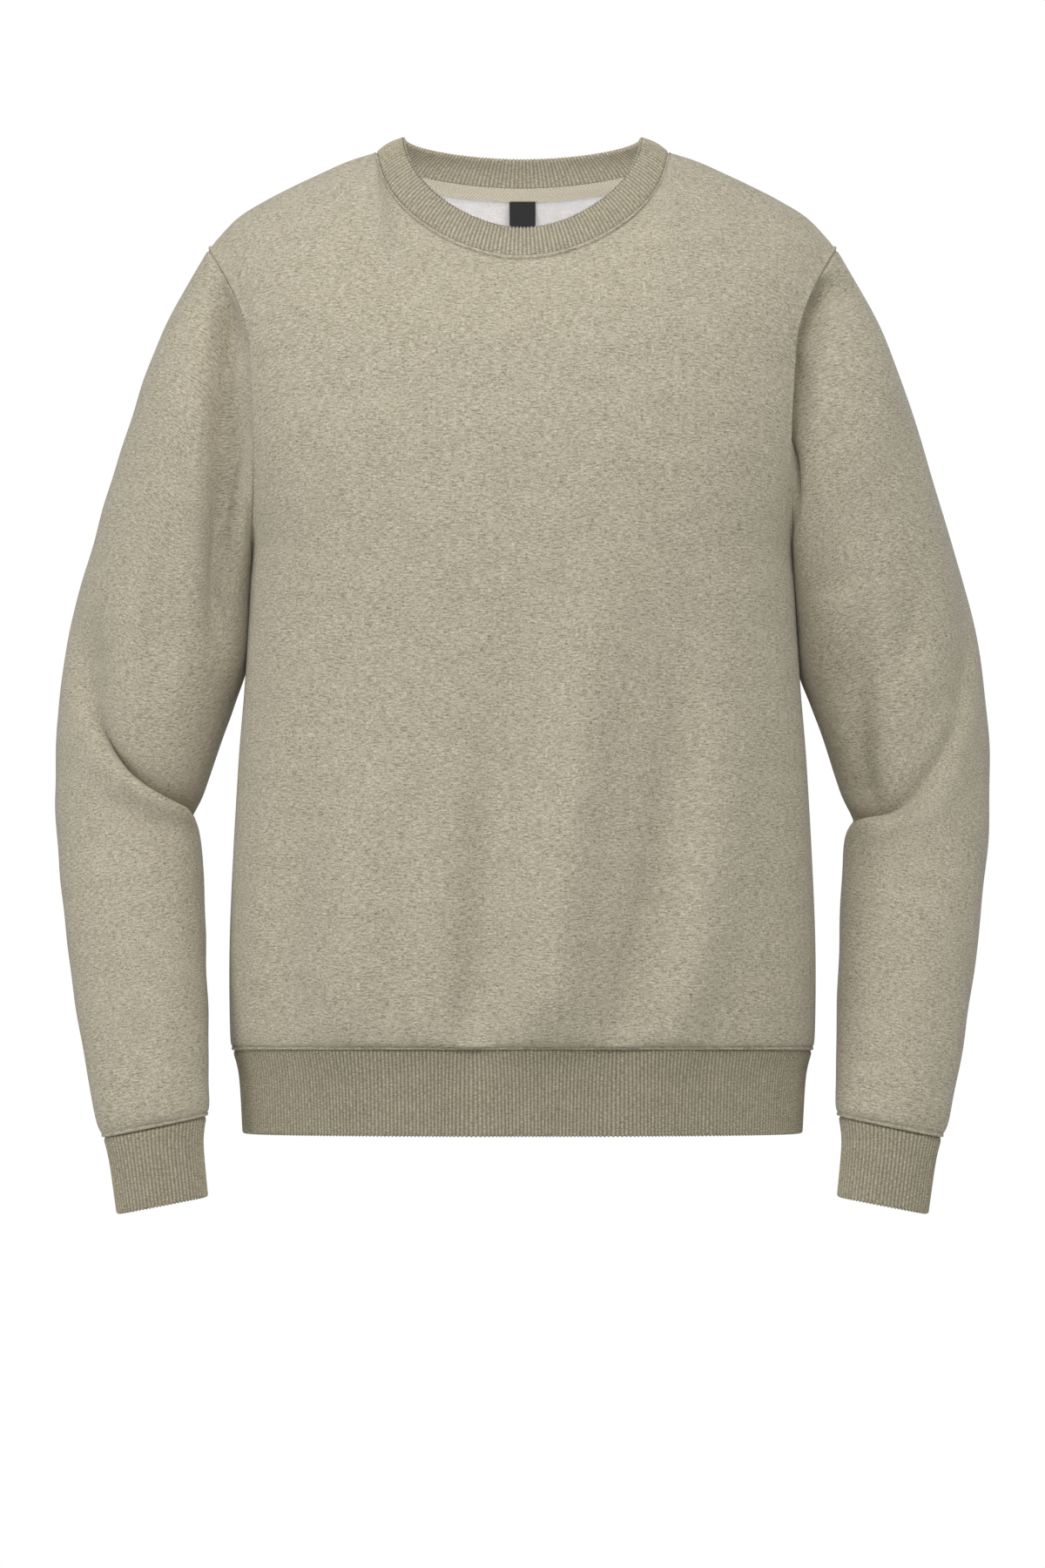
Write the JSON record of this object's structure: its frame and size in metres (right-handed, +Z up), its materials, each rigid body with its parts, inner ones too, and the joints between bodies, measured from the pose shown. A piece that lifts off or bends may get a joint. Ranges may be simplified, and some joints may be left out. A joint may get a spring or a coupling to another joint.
{
  "type": "crewneck sweatshirt",
  "caption": "Long-sleeved pullover sweatshirt with a round rib neckband, set-in sleeves, rib cuffs and a deep rib waistband, hollow and open as if worn",
  "frame": {"origin": "Midway between the two high shoulder points, where the shoulder seams meet the neckband, in the plane of the shoulder seams; the wearer's shoulders carry the garment here", "axes": "+Z up along the garment's length, -Y the way the wearer faces, +X to the wearer's left"},
  "size_m": [0.6822, 0.248, 0.782],
  "materials": {
    "fleece": "heathered jersey face, matt, brushed white on the inside",
    "rib": "heathered rib knit, matt",
    "tape": "woven twill tape, matt",
    "label": "woven black, matt, bare"
  },
  "bodies": {
    "root": {"front": "fleece", "back": "fleece", "sleeve_left_upper": "fleece", "sleeve_left_lower": "fleece", "sleeve_right_upper": "fleece", "sleeve_right_lower": "fleece", "cuff_left": "rib", "cuff_right": "rib", "waistband": "rib", "neckband": "rib", "neck_tape": "tape", "label": "label"}
  },
  "joints": []
}
